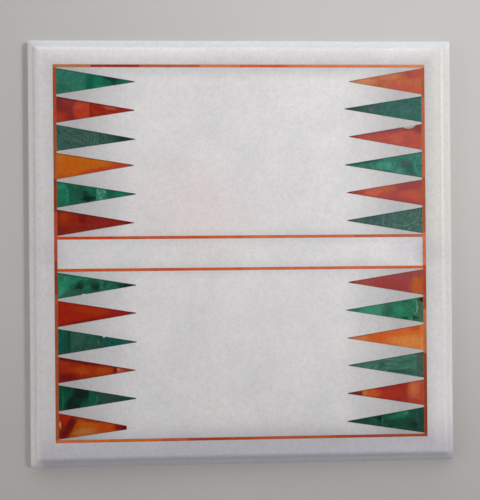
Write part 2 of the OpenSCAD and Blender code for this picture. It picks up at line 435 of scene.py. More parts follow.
def marble_grain():
    """White marble: sugary crystals, slow clouds and a few hair veins."""
    tree, given = new_group(
        "marble_grain",
        {"Vector": ORIGIN, "Crystal Size": 1.3, "Cloud Size": 38.0},
        {"Crystals": VALUE, "Clouds": VALUE, "Veins": VALUE, "Height": VALUE},
    )
    place = given["Vector"]
    cells = {"Vector": place, "Scale": 1.0 / given["Crystal Size"]}
    glint = split(put(tree, "ShaderNodeTexVoronoi", cells, feature="F1")["Color"])[0]
    sugar = noise(place, 3.4, seed=1.0, detail=4.0)
    clouds = noise(place, given["Cloud Size"], seed=2.0, detail=4.0, distortion=0.5)
    ridge = abs(noise(place, 60.0, seed=3.0, detail=6.0) - 0.5)
    broken = remap(noise(place, 45.0, seed=4.0), 0.45, 0.62)
    put(tree, "NodeGroupOutput", {
        "Crystals": (glint - 0.5) * 0.4 + sugar,
        "Clouds": remap(clouds, 0.3, 0.7),
        "Veins": remap(ridge, 0.006, 0.0) * broken,
        "Height": glint * 0.06 + sugar * 0.3,
    })
    return tree


RAGGED = ragged_places()
PATCH = soft_patch()
ARC = soft_arc()
BANDS = malachite_bands()
CLOUDS = carnelian_clouds()
POLISH = hand_polish()
MARBLE_GRAIN = marble_grain()


# Materials

def new_material(name):
    """An empty material, and its tree."""
    material = bpy.data.materials.new(name)
    material.use_nodes = True
    material.node_tree.nodes.clear()
    return material, material.node_tree


def object_place(tree):
    """Places on the object, in metres."""
    return put(tree, "ShaderNodeTexCoord")["Object"]


def millimetres(tree):
    """Places on the object, in millimetres."""
    return put(tree, "ShaderNodeMapping", {"Vector": object_place(tree), "Scale": (1 / MM,) * 3})[0]


def close_surface(colour, roughness, height, relief, ior, glow, glow_depth):
    """The shader that ends each stone's material: relief is the bump's depth, and glow its translucency."""
    tree = colour.tree
    bump = put(tree, "ShaderNodeBump", {"Height": height, "Strength": 1.0, "Distance": relief})
    shader = put(tree, "ShaderNodeBsdfPrincipled", {
        "Base Color": colour, "Roughness": roughness, "Normal": bump[0], "IOR": ior,
        "Subsurface Weight": glow, "Subsurface Radius": (1.0, 0.8, 0.7), "Subsurface Scale": glow_depth,
    })
    put(tree, "ShaderNodeOutputMaterial", {"Surface": shader[0]})


# A patch of another tone: its middle, half its size in millimetres, its share and its turn in degrees
Mark = namedtuple("Mark", "tone at size share turn soft", defaults=(0.8, 0, 0.5))

# A line on the part of an oval toward an angle in degrees: its width is a share of the oval's size
Arc = namedtuple("Arc", "tone at size toward width share")


def paint_marks(colour, place, marks):
    """Lays each mark over the colour in turn."""
    for m in marks:
        inputs = {"Vector": place, "Place": (*m.at, 0.0), "Half Size": (*m.size, 1000.0)}
        if isinstance(m, Arc):
            mask = use(ARC, {**inputs, "Toward": math.radians(m.toward), "Width": m.width})["Mask"]
        else:
            mask = use(PATCH, {**inputs, "Turn": math.radians(m.turn), "Softness": m.soft})["Mask"]
        colour = overlay(mask * m.share, colour, TONES[m.tone])
    return colour


# How the marble's tone changes over the slab, from its middle: a pink flush left of the middle, and then
# painted light and shade, namely painted shade on the left and right margins, a painted lighter patch on
# the far left margin, painted shade on the near margin and on the near, far and left mouldings, and painted
# shade at the ends of the bar
MARBLE_MARKS = [
    Mark("flush", (-43, 41), (50, 36), 0.6, turn=-25, soft=0.6),
    Mark("rose grey", (-192, 0), (27, 260)),
    Mark("warm grey", (192, 80), (27, 150), 0.9),
    Mark("bright", (-105, 184), (85, 18)),
    Mark("shadow grey", (0, -198), (330, 34), 1.0, soft=0.7),
    Mark("dusk grey", (0, -189), (330, 8), 1.0, soft=0.3),
    Mark("cool grey", (0, 189), (330, 7.5), 1.0, soft=0.3),
    # Painted shade on the left moulding and on its ovolo
    Mark("worn grey", (-189, 0), (7.5, 330), 0.9, soft=0.3),
    Mark("worn grey", (-181.5, 0), (3, 330), 0.5),
    Mark("shadow grey", (-162, 0.6), (28, 11), 0.25),
    Mark("shadow grey", (160, 0.6), (28, 11), 0.35),
]


def off_line(value, low_node, high_node, axis):
    """How far a place lies outside the middles of two lines, in millimetres, and less than 0 inside."""
    low = sum(end[axis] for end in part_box(low_node)) / 2 / MM
    high = sum(end[axis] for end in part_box(high_node)) / 2 / MM
    return abs(value - (low + high) / 2) - (high - low) / 2


def darkened_marble(x, y):
    """How much darker the marble is made beside the lines, and in the gaps between the points."""
    off_sides = off_line(x, "border_left", "border_right", 0)
    off_ends = off_line(y, "border_bottom", "border_top", 1)
    off_bar = off_line(y, "bar_line_lower", "bar_line_upper", 1)
    in_rows = (off_sides < 0) * (off_ends < 0) * (off_bar > 0)
    between = in_rows * remap(abs(x - GAPS_MIDDLE), *GAPS_REACH, kind="LINEAR") * GAPS_DARKENING

    off_border = abs(calc("MAXIMUM", off_sides, off_ends))
    by_border = remap(off_border, BORDER_REACH, 1.0, kind="LINEAR")
    by_bar = remap(abs(off_bar), BAR_REACH, 1.0, 0.0, BAR_SHARE, kind="LINEAR") * (off_sides < 0)
    strength = (x + y) * LINES_LEAN + LINES_DARKENING
    return calc("MAXIMUM", between, calc("MAXIMUM", by_border, by_bar) * strength)


def marble_material():
    """The slab: polished on top, rubbed on the moulding and only honed underneath."""
    material, tree = new_material("polished_marble")
    place = millimetres(tree)
    grain = use(MARBLE_GRAIN, {"Vector": place})
    polish = use(POLISH, {"Vector": place, "Roughness": 0.3, "Unevenness": 0.1, "Scratches": 0.1})
    x, y, z = split(place)
    above = remap(z, 0.5, 2.0)
    plain = overlay(grain["Clouds"], TONES["grey"], TONES["white"])
    # The flush and the painted light and shade of MARBLE_MARKS, on all but the underside
    colour = overlay(above, plain, paint_marks(plain, place, MARBLE_MARKS))
    shade = remap(grain["Crystals"], 0.2, 0.8, 0.93, 1.05, "LINEAR")
    colour = shaded(colour, shade * (1.0 - darkened_marble(x, y) * above))
    colour = overlay(grain["Veins"] * VEIN_SHARE, colour, TONES["dust"])

    # Dust in the quirk of the moulding
    inset = SLAB_SIDE / 2 / MM - calc("MAXIMUM", abs(x), abs(y))
    off_quirk = abs(inset - (NOSE_RADIUS + LEDGE_WIDTH) / MM)
    in_quirk = remap(off_quirk, *DUST_REACH) * remap(z, LEDGE_HEIGHT / MM, LEDGE_HEIGHT / MM + 1.0)
    caught = remap(noise(place, 9.0, seed=6.0), 0.3, 0.7, 0.0, DUST_SHARE)
    colour = overlay(in_quirk * caught, colour, TONES["dust"])

    # Saw marks underneath, and less polish there and on the moulding
    under = remap(z, 0.6, 0.0)
    saw = put(
        tree, "ShaderNodeTexWave",
        {"Vector": place, "Scale": 0.05, "Distortion": 1.5, "Detail": 3.0, "Detail Scale": 0.5},
        wave_type="BANDS", bands_direction="DIAGONAL",
    )["Fac"]
    height = saw * under * 2.0 + polish["Height"] + grain["Height"]
    on_moulding = remap(inset, MOULDING_WIDTH / MM, 8.0)
    rough = calc("MAXIMUM", under, on_moulding * 0.7) * 0.35 + polish["Roughness"]
    close_surface(colour, rough, height, relief=0.02 * MM, ior=1.5, glow=0.2, glow_depth=1.5 * MM)
    return material


class Placement(namedtuple("Placement", "start heading flip length base_half tip_half")):
    """Where a point lies: the middle of its base, its heading to the tip, and its half widths."""

    def half_at(self, share):
        """Half the point's width at a share of its length."""
        return self.base_half + share * (self.tip_half - self.base_half)

    def place_of(self, u, v):
        """The place, in millimetres, that lies u along the point from its base and v to its far side."""
        x, y, _ = self.start
        ahead, aside = math.cos(self.heading), math.sin(self.heading)
        return x / MM + u * ahead - v * self.flip * aside, y / MM + u * aside + v * self.flip * ahead


def placement(node):
    """Where a point lies, measured on the frame."""
    low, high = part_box(node)
    flip = 1 if "_left_" in node else -1
    base_x, tip_x = (low.x, high.x) if flip == 1 else (high.x, low.x)
    ends = []
    for end_x in (base_x, tip_x):
        places = [v.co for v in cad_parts[node].data.vertices]
        ys = [p.y for p in places if abs(p.x - end_x) < SAME_PLACE]
        ends.append(((min(ys) + max(ys)) / 2, (max(ys) - min(ys)) / 2 / MM))
    (base_y, base_half), (tip_y, tip_half) = ends
    run, rise = tip_x - base_x, tip_y - base_y
    return Placement(
        (base_x, base_y, high.z), math.atan2(rise, run), flip, math.hypot(run, rise) / MM,
        base_half, tip_half,
    )


# Fills of cement: the point, the place along and to the far side, half its size, and its tone
FILLS = [
    ("point_left_12", (63.5, 0), (6, 2.2), "fill"),
    ("point_right_3", (12.1, 9.5), (7.5, 2.6), "putty"),
    ("point_left_7", (22.6, -8), (2, 1.2), "fill"),
    ("point_left_9", (40.1, 5), (2, 1.4), "fill"),
]


def cement_material():
    """Setting cement: dirty in the joints, and white where it fills a chip or a lost tip."""
    material, tree = new_material("setting_cement")
    place = millimetres(tree)
    grit = noise(place, 0.4, seed=1.0, detail=4.0)
    stain = remap(noise(place, 9.0, seed=2.0), 0.35, 0.7)
    marks = []
    for node, stone in POINTS.items():
        lie = placement(node)
        tone_name = "green joint" if stone.kind == "malachite" else "red joint"
        for part in stone.seams:
            at = lie.place_of(part.share * lie.length, 0)
            size = (SEAM_REACH, lie.half_at(part.share))
            marks.append(Mark(tone_name, at, size, 0.9, math.degrees(lie.heading), soft=0.1))
    for node, place_on_point, size, tone_name in FILLS:
        lie = placement(node)
        at = lie.place_of(*place_on_point)
        marks.append(Mark(tone_name, at, size, 1, math.degrees(lie.heading), soft=0.15))
    colour = paint_marks(overlay(stain, TONES["joint"], TONES["stained joint"]), place, marks)
    colour = shaded(colour, remap(grit, 0.25, 0.75, 0.85, 1.05, "LINEAR"))
    rough = remap(grit, 0.3, 0.7, 0.45, 0.7, "LINEAR")
    close_surface(colour, rough, grit, relief=0.05 * MM, ior=1.5, glow=0.1, glow_depth=0.5 * MM)
    return material


def along_and_across(tree, start, heading, flip):
    """Places in a piece's own directions: millimetres along it from its start, and to its far side."""
    inputs = {
        "Vector": object_place(tree), "Location": start, "Rotation": (0.0, 0.0, heading),
        "Scale": (MM, MM * flip, MM),
    }
    return put(tree, "ShaderNodeMapping", inputs, vector_type="TEXTURE")[0]


def malachite_pattern(body, place, seed, pattern):
    """Bands and mottling over a green body."""
    rings = use(BANDS, {
        "Vector": place, "Swell": pattern.swell, "Wander": pattern.wander, "Band Width": pattern.band,
        "Lean": math.radians(pattern.lean), "Seed": seed,
    })
    darker = overlay(0.8, body, TONES["deep green"])
    lighter = overlay(0.45, body, TONES[pattern.light])
    colour = overlay(pattern.mottle, body, overlay(rings["Mottle"], darker, lighter))
    colour = overlay(pattern.contrast, colour, overlay(rings["Bands"], darker, lighter))
    return overlay(rings["Hair Lines"] * (pattern.contrast * 0.6), colour, TONES[pattern.light])


def carnelian_pattern(body, place, seed, pattern):
    """Deep clouds and light streaks over a red body."""
    inside = use(CLOUDS, {
        "Vector": place, "Cloud Size": pattern.swell, "Streak Turn": math.radians(pattern.lean),
        "Seed": seed,
    })
    deep = overlay(0.6, body, TONES["garnet"])
    bright = overlay(0.35, body, TONES["gold"])
    colour = overlay(inside["Clouds"] * pattern.contrast, body, deep)
    return overlay(inside["Streaks"] * (pattern.contrast * 0.7), colour, bright)


def rim_shade(colour, place, lie, rim):
    """A darker band along a stone's far and near edges, each of its own width: rim holds its tone, widths
    and share.
    """
    tone_name, far_width, near_width, share = rim
    along, across, _ = split(place)
    half = remap(along, 0.0, lie.length, lie.base_half, lie.tip_half, "LINEAR")
    for gap, width in ((half - across, far_width), (half + across, near_width)):
        colour = overlay(remap(gap, width, 0.0) * share, colour, TONES[tone_name])
    return colour


def finish_stone(colour, place, seed):
    """Fine grain in the tone of a stone, and its polish."""
    fine = noise(place, 0.7, seed, detail=4.0)
    coarse = noise(place, 2.6, seed, distortion=0.5)
    colour = shaded(colour, remap(coarse * 0.8 + fine * 0.6, 0.35, 1.05, 0.78, 1.22, "LINEAR"))
    polish = use(POLISH, {"Vector": place, "Roughness": 0.12, "Unevenness": 0.08, "Scratches": 0.08})
    close_surface(
        colour, polish["Roughness"], polish["Height"],
        relief=0.02 * MM, ior=1.54, glow=0.1, glow_depth=0.8 * MM,
    )


Pattern = namedtuple("Pattern", "swell wander band lean contrast mottle light")
Stone = namedtuple("Stone", "kind body pattern marks seams rim")
Beyond = namedtuple("Beyond", "share slant body marks changes")


def malachite(
    body, marks, *seams, swell=9, wander=14, band=4.0, lean=0, contrast=0.25, mottle=0.4,
    light="jade", rim=("black green", 1.4, 0.8, 0.5),
):
    """A green stone: its swell, wander and band width are in millimetres, its lean in degrees."""
    pattern = Pattern(swell, wander, band, lean, contrast, mottle, light)
    return Stone("malachite", body, pattern, marks, seams, rim)


def carnelian(body, marks, *seams, swell=7, lean=30, contrast=0.25, rim=("garnet", 1.8, 0.8, 0.7)):
    """A red stone: its clouds' swell is in millimetres, and its streaks' lean in degrees."""
    return Stone("carnelian", body, Pattern(swell, 0, 0, lean, contrast, 0, ""), marks, seams, rim)


def beyond(share, slant, body, marks=(), **changes):
    """The next stone of a point, from the seam at a share of the length; slant is in millimetres."""
    return Beyond(share, slant, body, marks, changes)


# The points, each from its base: marks are placed in millimetres along and to the far side
POINTS = {
    "point_left_1": malachite("teal green", [
        Mark("fern green", (4, -6), (8, 4), 0.5),
        Mark("forest green", (45, 0), (18, 12), 0.9, soft=0.4),
        Mark("deep teal", (30.5, 0), (4.2, 14), 0.85, soft=0.7),
        Mark("bright green", (36, -1.5), (4, 6), 0.75),
        Mark("deep green", (47, 3), (7, 2.4), 0.95, turn=-12, soft=0.4),
        Mark("deep green", (50.5, 0), (2.6, 3.4), 0.6),
        Mark("jade", (40, -4.5), (5, 1.5), 0.5, turn=9),
    ], swell=20, lean=70, band=5.0, contrast=0.12, mottle=0.25),
    "point_left_2": carnelian("plum", [
        Mark("scarlet", (3, -7), (7, 4.5), 0.9, soft=0.6),
        Mark("crimson", (11, -7.5), (5, 2.5), 0.6),
        Mark("flame", (23, 0), (7.5, 11), 0.95, soft=0.25),
        Mark("rose tan", (18.5, 3), (4, 3), 0.4),
        Mark("scarlet", (19, -3), (3.5, 3), 0.6),
    ], beyond(0.42, 0, "red", [
        Mark("rose tan", (47, 1.8), (6, 1.6), turn=-8),
        Mark("tip red", (60, 0), (8, 3), 0.6),
        Mark("garnet", (67, 0), (3, 2), 0.6),
    ]), swell=9),
    "point_left_3": malachite("grey green", [
        Arc("pale slate", (22, 12), (20, 16), -130, 0.06, 0.7),
        Arc("pale slate", (22, 12), (25, 21), -130, 0.04, 0.6),
        Arc("pine green", (22, 12), (22.5, 18.5), -130, 0.04, 0.5),
    ], beyond(0.40, 1, "grey green", lean=88, band=3.0, contrast=0.4), beyond(0.53, 0, "dusk green", [
        Mark("black green", (62, 0), (11, 4), 0.7),
        Mark("iron grey", (68, 0), (4, 2), 0.5),
    ], contrast=0.15), swell=30, wander=16, band=4.2, lean=-38, contrast=0.3, mottle=0.2,
        light="mist green"),
    "point_left_4": carnelian("amber", [
        Mark("flame", (35, -5), (18, 2.8), 0.9, turn=10),
        Mark("flame", (58, 0), (11, 4), 0.9),
        Mark("flame", (4, -9), (8, 2), 0.4),
        Mark("dark orange", (4, 2), (5, 5), 0.3),
        Mark("honey", (3, 6.5), (4, 3), 0.35),
        Mark("honey", (38, 3), (6, 1.5), 0.3, turn=-9),
        Mark("garnet", (66, 0), (3, 2), 0.5),
    ], contrast=0.08, rim=("umber", 1.5, 0.6, 0.75)),
    "point_left_5": malachite("forest green", [
        Mark("leaf green", (3, 1), (4.5, 10), 0.75),
        Mark("jade", (3.5, 7), (3.5, 3), 0.5),
        Arc("turquoise", (3, -1), (7.4, 9), 0, 0.1, 0.75),
        Mark("spring green", (8, -3), (1.8, 4), 0.7),
        Arc("leaf green", (1.5, -1), (11.5, 12), 0, 0.08, 0.4),
        Mark("bottle green", (13, 0), (1.6, 9), 0.5),
        Mark("bottle green", (22, 1), (6, 7)),
        Mark("black green", (28, -4), (6, 2.6), 0.95, turn=10, soft=0.4),
        Mark("black green", (25, -1), (3, 3), 0.6),
        Mark("sea green", (29, 5), (5, 3), 0.7),
    ], beyond(0.50, 1, "sea green", [
        Mark("foam green", (38, -1), (5, 5), 0.55),
        Mark("aqua green", (35.6, 3), (0.8, 1.8), 0.9),
        Mark("aqua green", (38, 0.4), (1.2, 0.8), 0.7, turn=20),
        Mark("aqua green", (41.3, 1.6), (1.8, 0.6), 0.7, turn=-15),
        Mark("aqua green", (38.5, -3.4), (1.6, 0.7), 0.6),
        Mark("bottle green", (48.5, 1.5), (2.5, 2.5), 0.6),
        Mark("forest green", (46, -1), (3, 2), 0.6),
        Mark("spring green", (56, -0.5), (6, 2), 0.4),
        Mark("black green", (67, 0), (3, 2), 0.5),
    ]), wander=20, band=3.6, mottle=0.45),
    "point_left_6": carnelian("cherry", [
        Mark("brick", (11, 2), (9, 8)),
        Mark("ember", (5.5, 5), (5, 4.5), 0.85),
        Mark("oxblood", (22, 4), (3.5, 5)),
        Mark("wine", (2, -7.5), (5, 2.6), 0.6, turn=8),
        Mark("umber", (0.5, 8), (2, 4), 0.6),
        Mark("crimson", (48, 0), (14, 4), 0.6),
        Mark("garnet", (64, 0), (4, 2), 0.7),
    ], rim=("garnet", 1.7, 0.7, 0.75)),
    "point_left_7": malachite("leaf green", [
        Mark("jade", (8, 3), (7, 6), 0.5),
        Mark("turquoise", (6.5, 5.5), (1.2, 3), 0.6),
        Mark("turquoise", (3, -5), (2.5, 4), 0.7),
        Mark("jade", (2, 0), (2.5, 4), 0.5),
        Mark("moss green", (15, -5.5), (9, 3.5), 0.85),
        Mark("bottle green", (14, -1.5), (4, 3), 0.7),
        Mark("black green", (19, -0.5), (3.5, 3), 0.85, turn=20),
        Mark("bottle green", (27, 2), (4, 3), 0.6),
        Mark("black green", (33.5, -1), (4.2, 4), 0.85, turn=-20),
        Mark("bottle green", (31, 3.5), (3, 2), 0.7),
        Mark("bottle green", (30, -4.5), (4, 2.4), 0.7),
        Mark("bottle green", (22, -6), (5, 2), 0.5, turn=8),
        Mark("spring green", (20, 6), (6, 2), 0.5, turn=-9),
        Mark("spring green", (9, -1), (3.5, 4), 0.35),
    ], beyond(0.56, 0.5, "fern green", [
        Mark("black green", (60, 0), (8, 2.5)),
    ], swell=16, contrast=0.15), swell=7, wander=16, band=3.6, contrast=0.45, mottle=0.8),
    "point_left_8": carnelian("fire red", [
        Mark("ember", (30, 2.5), (16, 3), 0.7, turn=-6),
        Mark("oxblood", (22, -7), (24, 1.8), 0.7, turn=10),
        Mark("crimson", (58, 0), (13, 5), 0.9),
    ], contrast=0.1, rim=("garnet", 1.4, 0.8, 0.65)),
    "point_left_9": malachite("blue teal", [
        Mark("holly green", (6.5, 0), (1.4, 14), 0.6),
    ], beyond(0.11, 0, "dusk green", [
        Mark("deep green", (8.6, 0), (2.6, 14)),
        Mark("slate green", (17, 2.5), (4.5, 5), 0.35),
        Mark("turquoise", (35.5, -0.3), (0.8, 1.2), 0.4),
        Mark("pine green", (37, 4), (3, 2), 0.6),
    ], swell=24, lean=60, contrast=0.12), beyond(0.585, 0, "blue teal", [
        Mark("slate green", (62, 0), (6, 2), 0.4),
    ]), contrast=0.15, mottle=0.3),
    "point_left_10": carnelian("brick", [
        Mark("ember", (25, -0.5), (17, 4.5), 0.9),
        Mark("burnt orange", (21, -1), (6, 2.6), 0.5, turn=-15),
        Mark("burnt orange", (40, -0.6), (8, 3), 0.55),
        Mark("ember", (5, 6), (6, 4), 0.5),
        Mark("oxblood", (8, -7), (9, 4.5), 0.9, turn=10),
        Mark("oxblood", (20, 7), (16, 1.9), 0.9, turn=-9),
        Mark("garnet", (5, 9.8), (4, 1.6)),
        Mark("oxblood", (49.8, 0), (1.8, 6), 0.75, soft=0.4),
    ], beyond(0.76, 0, "rose tan", [
        Mark("tip red", (62, 0), (6, 3), 0.85),
        Mark("sand", (52.5, 1), (1, 1.2), 0.5),
    ]), contrast=0.2, lean=-30),
    "point_left_11": malachite("holly green", [
        Mark("leaf green", (3.5, -3), (1.2, 8), 0.45),
        Mark("black green", (13, -5), (7, 6), 0.95, turn=55, soft=0.4),
        Mark("black green", (19.5, 3.8), (8, 6.8), 0.95, turn=55, soft=0.4),
        Mark("deep green", (17, -2), (3, 3), 0.5),
        Mark("deep green", (8, 8), (5, 2.5), 0.6),
        Mark("forest green", (29.5, 0), (3.5, 7), 0.55),
        Mark("turquoise", (32.8, -1), (0.5, 4), 0.3),
    ], beyond(0.50, 0.5, "pine green", [
        Mark("iron grey", (42, 0), (10, 6), 0.25),
    ], swell=20, contrast=0.15), swell=11, lean=60, contrast=0.2, mottle=0.5, light="sea green"),
    "point_left_12": carnelian("burnt orange", [
        Mark("fire red", (4, 5), (7, 7), 0.95),
        Mark("maroon", (2, -3), (4, 5), 0.6),
        Mark("maroon", (9.7, 0), (13, 3.8), 0.95, turn=64),
        Mark("maroon", (3, -8), (4.5, 3.5)),
        Mark("honey", (23, -4), (9, 3), 0.85, turn=8),
        Mark("amber", (27, 1.5), (9, 3), 0.5),
        Mark("red", (24, 6.5), (18, 1.8), 0.7, turn=-9),
        Mark("fire orange", (43, 0), (8, 5), 0.85),
        Mark("oxblood", (54, 0.6), (5.5, 4), 0.95),
        Mark("garnet", (58.5, 0), (3, 3), 0.9),
        Mark("sand", (0.8, 1), (0.8, 3.2), 0.75, turn=6),
    ], contrast=0.15, rim=("oxblood", 1.6, 0.5, 0.75)),
    "point_right_1": carnelian("salmon", [
        Mark("scarlet", (7, 7), (9, 4), 0.3, turn=-9),
        Mark("rosewood", (4, 7), (7, 4.5), 0.55),
        Mark("tan", (29, 4), (10, 2.6), 0.35, turn=-9),
        Mark("dusty rose", (10.5, 6), (4, 3), 0.6, turn=20),
        Mark("coral red", (9, -7), (10, 3.5), turn=9),
        Mark("pink", (22, -5), (8, 3), 0.75, turn=9),
        Mark("tan", (57, 0), (14, 4)),
    ], contrast=0.15, rim=("cinder", 1.2, 0.7, 0.6)),
    "point_right_2": malachite("slate green", [
        Mark("pale teal", (14, 0), (5, 5), 0.7),
        Mark("river green", (10, 3.5), (1.8, 1.6)),
        Mark("river green", (14.5, 6), (1.6, 1.4)),
        Mark("river green", (12.5, 1.2), (1, 1), 0.6),
        Mark("iron grey", (37, 3.5), (4, 1.8), 0.6),
        Mark("iron grey", (41.5, 0.5), (3.4, 2.6), 0.7),
    ], beyond(0.62, 0, "iron grey", [
        Mark("violet grey", (46, -1), (2, 1.5), 0.5),
        Mark("river green", (61, 0), (8, 3), 0.7),
    ]), swell=8, wander=8, band=3, contrast=0.1, mottle=0.3),
    "point_right_3": carnelian("coral rose", [
        Mark("cinder", (3, 8), (5.5, 4), 0.95),
        Mark("cinder", (13, 7.2), (6, 1.4), turn=-9),
        Mark("mauve", (26, 6.2), (12, 2.4), 0.95, turn=-10),
        Mark("mauve", (42, 3.4), (10, 1.4), 0.7, turn=-10),
        Mark("coral", (23, -2), (6, 4), 0.4),
        Mark("cinder", (62, 0), (4, 2)),
    ], contrast=0.15, rim=("cinder", 1.4, 0.6, 0.7)),
    "point_right_4": malachite("sage green", [
        Arc("turquoise", (-3, 0), (9, 12), 0, 0.1, 0.5),
        Arc("river green", (-3, 0), (11.5, 14), 0, 0.06, 0.4),
        Mark("iron grey", (15, 1), (5, 4), 0.9),
        Mark("iron grey", (9, -8), (4.5, 2.5), turn=20),
        Mark("river green", (11.5, -3.5), (3.5, 5), 0.6, turn=-30),
        Mark("turquoise", (31, -0.8), (3.5, 3.2), 0.75),
        Mark("turquoise", (38, -1), (3, 3), 0.5),
        Mark("turquoise", (21, -5), (3.5, 2.5), 0.5),
        Mark("river green", (53, 2), (12, 1.2), turn=-9),
    ], swell=8, light="turquoise"),
    "point_right_5": carnelian("rosewood", [
        Mark("dusty rose", (13, 6), (16, 4), 0.9, turn=-10),
        Mark("coral red", (8, -2), (10, 3.5), 0.7, turn=6),
        Mark("coral red", (33, 2), (9, 3.5), 0.7),
        Mark("dusty rose", (18, -7.6), (18, 1.8), 0.6, turn=9),
        Mark("salmon", (36, 3), (12, 3), 0.5, turn=-9),
        Mark("coral", (45, 0), (6, 3), 0.7),
        Mark("dusty rose", (27, -1), (5, 3), 0.35),
        Mark("dusty rose", (61, 0), (5, 2.5), 0.5),
        Mark("garnet", (66.5, 0), (2.5, 1.6), 0.7),
    ], contrast=0.2, rim=("cinder", 1.2, 0.8, 0.55)),
    "point_right_6": malachite("pale slate", [
        Mark("olive green", (13, 2), (7, 5), 0.5),
        Arc("mist green", (16, 9), (13.6, 14.2), -130, 0.045, 0.45),
        Arc("mist green", (16, 9), (17, 18), -130, 0.035, 0.35),
        Mark("iron grey", (31, 3), (4, 5), 0.4),
    ], beyond(0.50, 0.5, "pale slate", [
        Mark("mist green", (35, 0), (0.5, 6), 0.35),
        Mark("iron grey", (43, 0), (8, 4), 0.5),
    ]), swell=26, wander=10, band=5, lean=75, contrast=0.12, light="mist green"),
    "point_right_7": carnelian("clay", [
        Mark("dusty rose", (4, 8), (9, 4), 0.75),
        Mark("dusty rose", (0, 0), (1.5, 12), 0.5),
    ], beyond(0.14, 0, "dusty rose", [
        Mark("clay", (9.8, -3.5), (3.2, 5), 0.7, soft=0.7),
        Mark("rosewood", (30, 1), (24, 6), 0.25),
        Mark("deep red", (28, -2), (16, 5), 0.35, turn=4),
        Mark("rose tan", (56, 0), (8, 3), 0.4),
        Mark("garnet", (65, 0), (3, 1.6), 0.6),
    ]), contrast=0.15, rim=("cinder", 1.2, 0.7, 0.5)),
    "point_right_8": malachite("emerald", [
        Mark("olive", (2.2, 0), (2.8, 14), 0.85, soft=0.8),
        Mark("black red", (1, 9.5), (2.6, 2.6), 0.95),
        Mark("jade", (21, 0), (4, 4)),
        Arc("mist green", (17, 1), (12, 11.5), -140, 0.06, 1.0),
        Arc("shade green", (13, 2), (6, 5), 90, 0.14, 0.7),
        Mark("deep green", (7, -7.5), (3, 2), 0.85),
        Mark("deep green", (16.5, -8), (3, 1.4), turn=10),
        Mark("slate green", (32.5, 5), (4.5, 3), soft=0.7),
        Mark("moss green", (32, -2), (3.4, 4), 0.9, turn=-15, soft=0.7),
    ], beyond(0.50, 1, "foam green", [
        Mark("moss green", (35.5, -1.5), (2.2, 4), 0.7, soft=0.8),
        Mark("river green", (63, 0), (6, 2), 0.5),
    ], swell=20, contrast=0.12, mottle=0.2), swell=7, wander=16, band=3.6, contrast=0.3, mottle=0.5),
    "point_right_9": carnelian("gold", [
        Mark("tangerine", (1, 7), (5, 6), 0.7),
    ], beyond(0.05, 0, "tangerine", [
        Mark("scarlet", (7, 8), (5, 2.2), 0.5, turn=-9),
        Mark("gold", (12, -4), (14, 6), 0.85),
        Mark("gold", (27, -2), (9, 3), 0.5),
        Mark("dark orange", (44, 1), (12, 4), 0.5),
        Mark("tan", (57, -0.5), (7, 2), 0.5),
        Mark("black red", (66.8, 0), (2, 1.4), 0.6),
    ]), contrast=0.1, rim=("cinder", 1.4, 0.3, 0.6)),
    "point_right_10": malachite("dark olive", [
        Mark("slate green", (6.3, 0), (1.6, 14), 0.85),
    ], beyond(0.10, 0, "glass green", [
        Mark("river green", (17, -5.5), (12, 2), 0.6, turn=8),
        Mark("river green", (16, 3), (9, 0.9), 0.7, turn=-12),
        Mark("deep green", (21, -6.2), (12, 1.1), 0.5, turn=8),
    ], contrast=0.45), beyond(0.51, 0.5, "glass green", [
        Mark("river green", (38, -1), (4, 1.6), 0.7, turn=-30),
        Mark("moss green", (38.5, 0.5), (2.6, 3), 0.6),
    ], lean=-24, contrast=0.45, swell=22), swell=34, wander=14, band=4.4, contrast=0.3, mottle=0.2,
        light="mist green"),
    "point_right_11": carnelian("coral red", [
        Mark("gold tan", (9.5, 3.5), (4.5, 6), 0.7, soft=0.7),
        Mark("scarlet", (1, 0), (2.4, 12), 0.5),
        Mark("scarlet", (8, -8), (8, 2.4), 0.7, turn=8),
    ], beyond(0.17, 0, "deep red", [
        Mark("coral red", (12.4, -1), (2.4, 9), 0.6, soft=0.8),
        Mark("gold tan", (11, 3.5), (3, 5.5), 0.6, soft=0.8),
        Mark("scarlet", (32, -1), (14, 4), 0.5),
        Mark("dark orange", (48, 0), (8, 4), 0.9),
        Mark("gold tan", (54, 0), (2.5, 2.5)),
    ], contrast=0.25), beyond(0.81, 0.5, "plum red"), contrast=0.15, rim=("garnet", 1.5, 1.0, 0.55)),
    "point_right_12": malachite("shade green", [
        Mark("iron grey", (3, 0), (4, 13), 0.3),
        Arc("leaf green", (15, -2), (8, 6), 70, 0.12, 0.4),
        Arc("black green", (24, -3), (8, 6), -60, 0.14, 0.6),
        Mark("leaf green", (23, 4.5), (10, 3), 0.85, turn=-10),
        Mark("turquoise", (16.5, 6.2), (2.5, 1), 0.6, turn=-15),
        Mark("black green", (9.5, -5), (4, 3), 0.6),
        Mark("pine green", (2.5, 0), (2.5, 12), 0.7),
        Mark("turquoise", (37.3, 0), (0.4, 4), 0.35),
    ], beyond(0.55, 1, "pine green", [
        Mark("black green", (40, 2.6), (2.6, 2.6), 0.9),
        Mark("leaf green", (46, 0), (3, 2), 0.3),
    ]), beyond(0.81, -1, "shade green"), contrast=0.5, mottle=0.9, light="fern green"),
}


def stone_colour(place, ragged, kind, body, pattern, marks, seed):
    """The colour of one stone: its body with its pattern, and its marks over them."""
    paint = malachite_pattern if kind == "malachite" else carnelian_pattern
    return paint_marks(paint(TONES[body], place, seed, pattern), ragged, marks)


